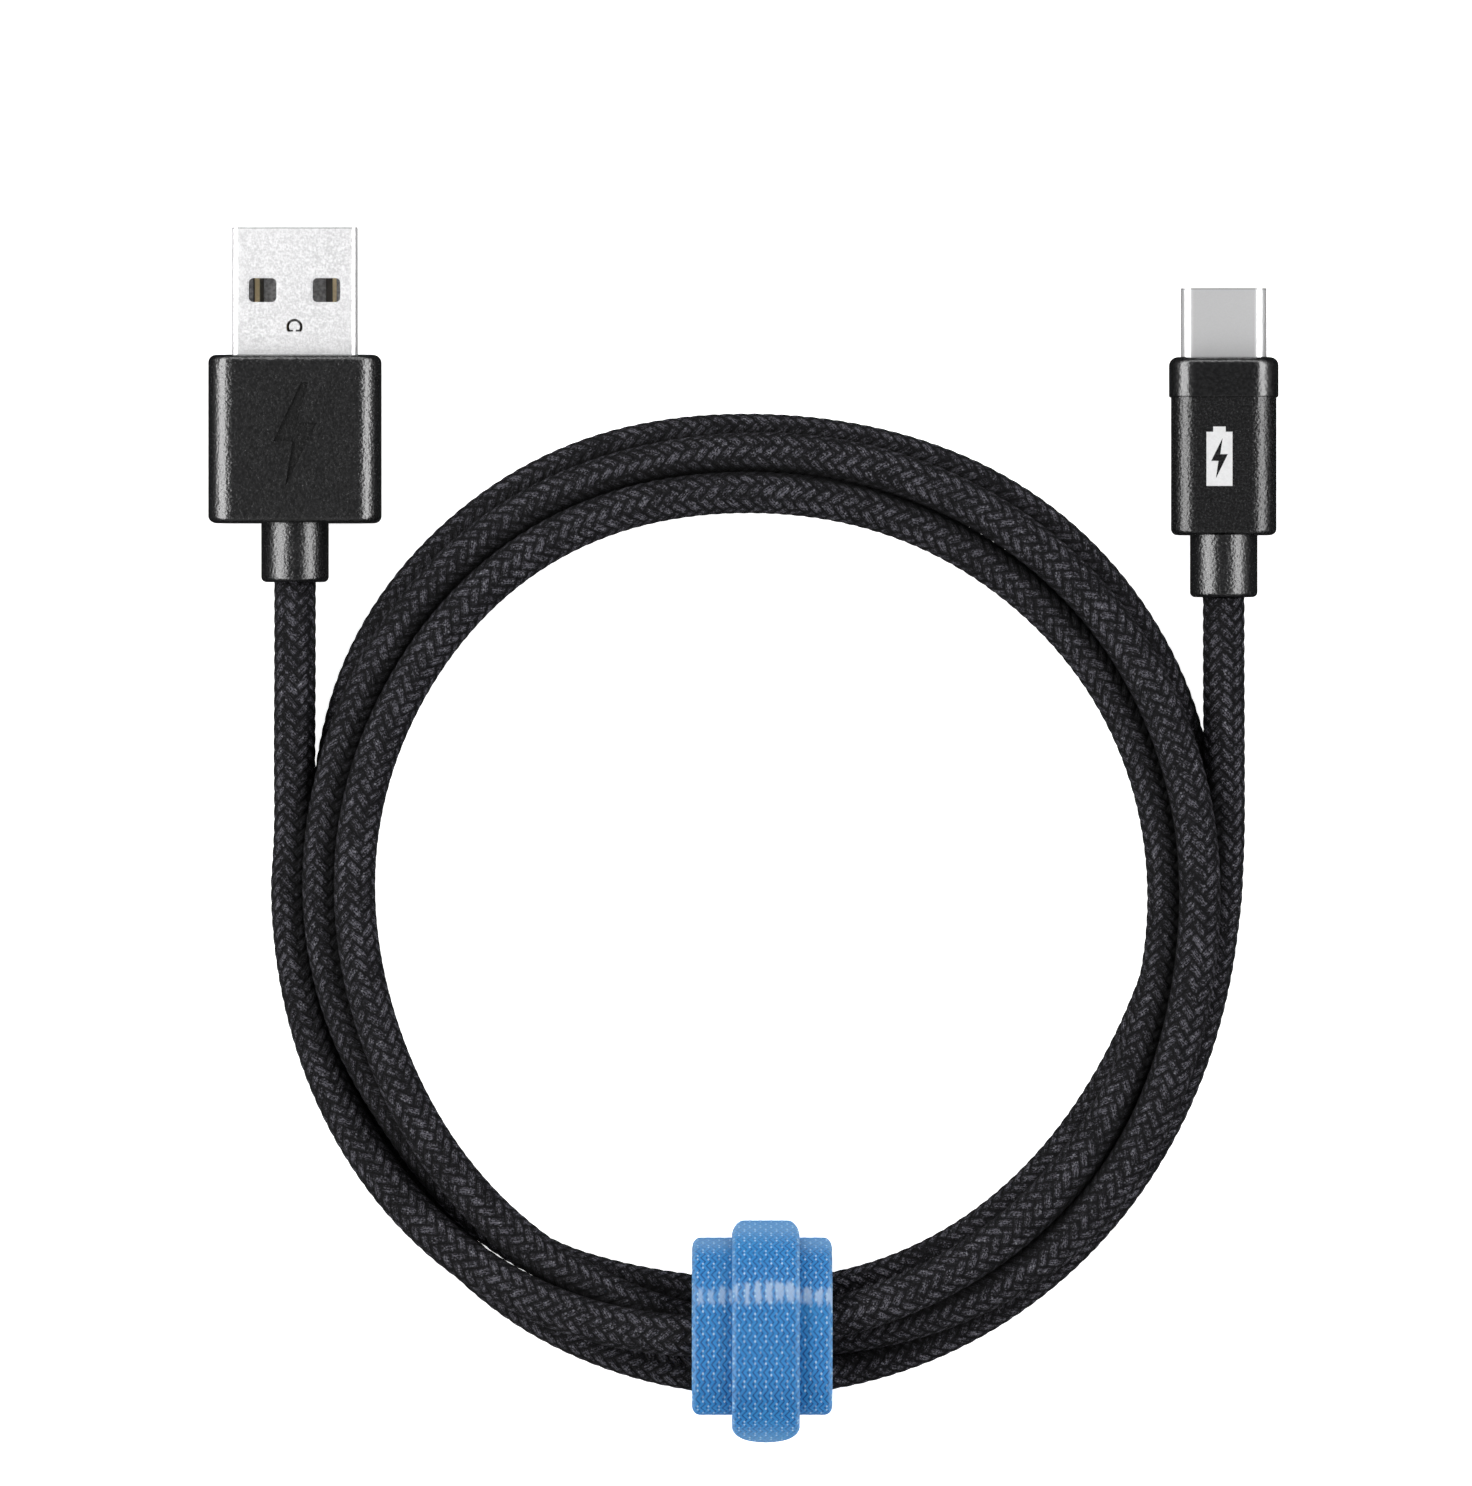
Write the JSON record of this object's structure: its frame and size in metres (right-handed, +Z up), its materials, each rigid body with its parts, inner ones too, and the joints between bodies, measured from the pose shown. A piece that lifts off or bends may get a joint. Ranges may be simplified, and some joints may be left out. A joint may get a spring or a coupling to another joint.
{
  "type": "charging cable",
  "caption": "Braided charging and data cable with a rectangular plug and a slim oval plug, wound into a round coil and tied with a blue hook-and-loop strap.",
  "frame": {"origin": "on the surface that the cable lies on, at the centre of its outline in plan", "axes": "+Z up from the surface, +Y the way both plugs point, +X from the rectangular plug to the oval plug"},
  "size_m": [0.1028, 0.1166, 0.0144],
  "materials": {
    "black_insulator": "matte",
    "braided_sleeve": "braided nylon, matte with light flecks",
    "circuit_board": "solder mask",
    "collar_black": "satin",
    "gold_contact": "gold flash, smooth",
    "housing_black": "fine spark texture",
    "inner_mould": "milky",
    "plug_steel": "satin, fine rolled grain",
    "relief_black": "fine texture",
    "resistor_body": "gloss",
    "solder": "bright solder",
    "spring_steel": "satin",
    "strap_blue": "knitted loop face with milky edges",
    "tinned_shield": "dull tin plate",
    "white_print": "ink",
    "wire_black": "semi gloss",
    "wire_green": "semi gloss",
    "wire_red": "semi gloss",
    "wire_white": "semi gloss"
  },
  "bodies": {
    "cable": {"cable_coil": "braided_sleeve", "cable_tail_usb_a": "braided_sleeve", "cable_tail_usb_c": "braided_sleeve", "usb_a_back_shield": "tinned_shield", "usb_a_cable_end": "braided_sleeve", "usb_a_contact_data_minus": "gold_contact", "usb_a_contact_data_plus": "gold_contact", "usb_a_contact_ground": "gold_contact", "usb_a_contact_vbus": "gold_contact", "usb_a_housing": "housing_black", "usb_a_inner_mould": "inner_mould", "usb_a_insulator": "black_insulator", "usb_a_shell": "plug_steel", "usb_a_solder_joints": "solder", "usb_a_strain_relief": "relief_black", "usb_a_wire_black": "wire_black", "usb_a_wire_green": "wire_green", "usb_a_wire_red": "wire_red", "usb_a_wire_white": "wire_white", "usb_c_cable_end": "braided_sleeve", "usb_c_circuit_board": "circuit_board", "usb_c_collar": "collar_black", "usb_c_contacts_lower": "gold_contact", "usb_c_contacts_upper": "gold_contact", "usb_c_ground_spring_lower": "spring_steel", "usb_c_ground_spring_upper": "spring_steel", "usb_c_housing": "housing_black", "usb_c_insulator": "black_insulator", "usb_c_latch_plate": "spring_steel", "usb_c_printed_sign": "white_print", "usb_c_resistor": "resistor_body", "usb_c_shell": "plug_steel", "usb_c_shield_can": "tinned_shield", "usb_c_solder_joints": "solder", "usb_c_strain_relief": "relief_black", "usb_c_wire_black": "wire_black", "usb_c_wire_green": "wire_green", "usb_c_wire_red": "wire_red", "usb_c_wire_white": "wire_white"},
    "strap": {"strap": "strap_blue"}
  },
  "joints": [
    {"name": "strap_slide", "type": "hinge", "parent": "cable", "child": "strap", "pos_m": [0.00163, -0.00633, 0.006], "axis": [0, 0, 1], "range_deg": [-4, 4]}
  ]
}
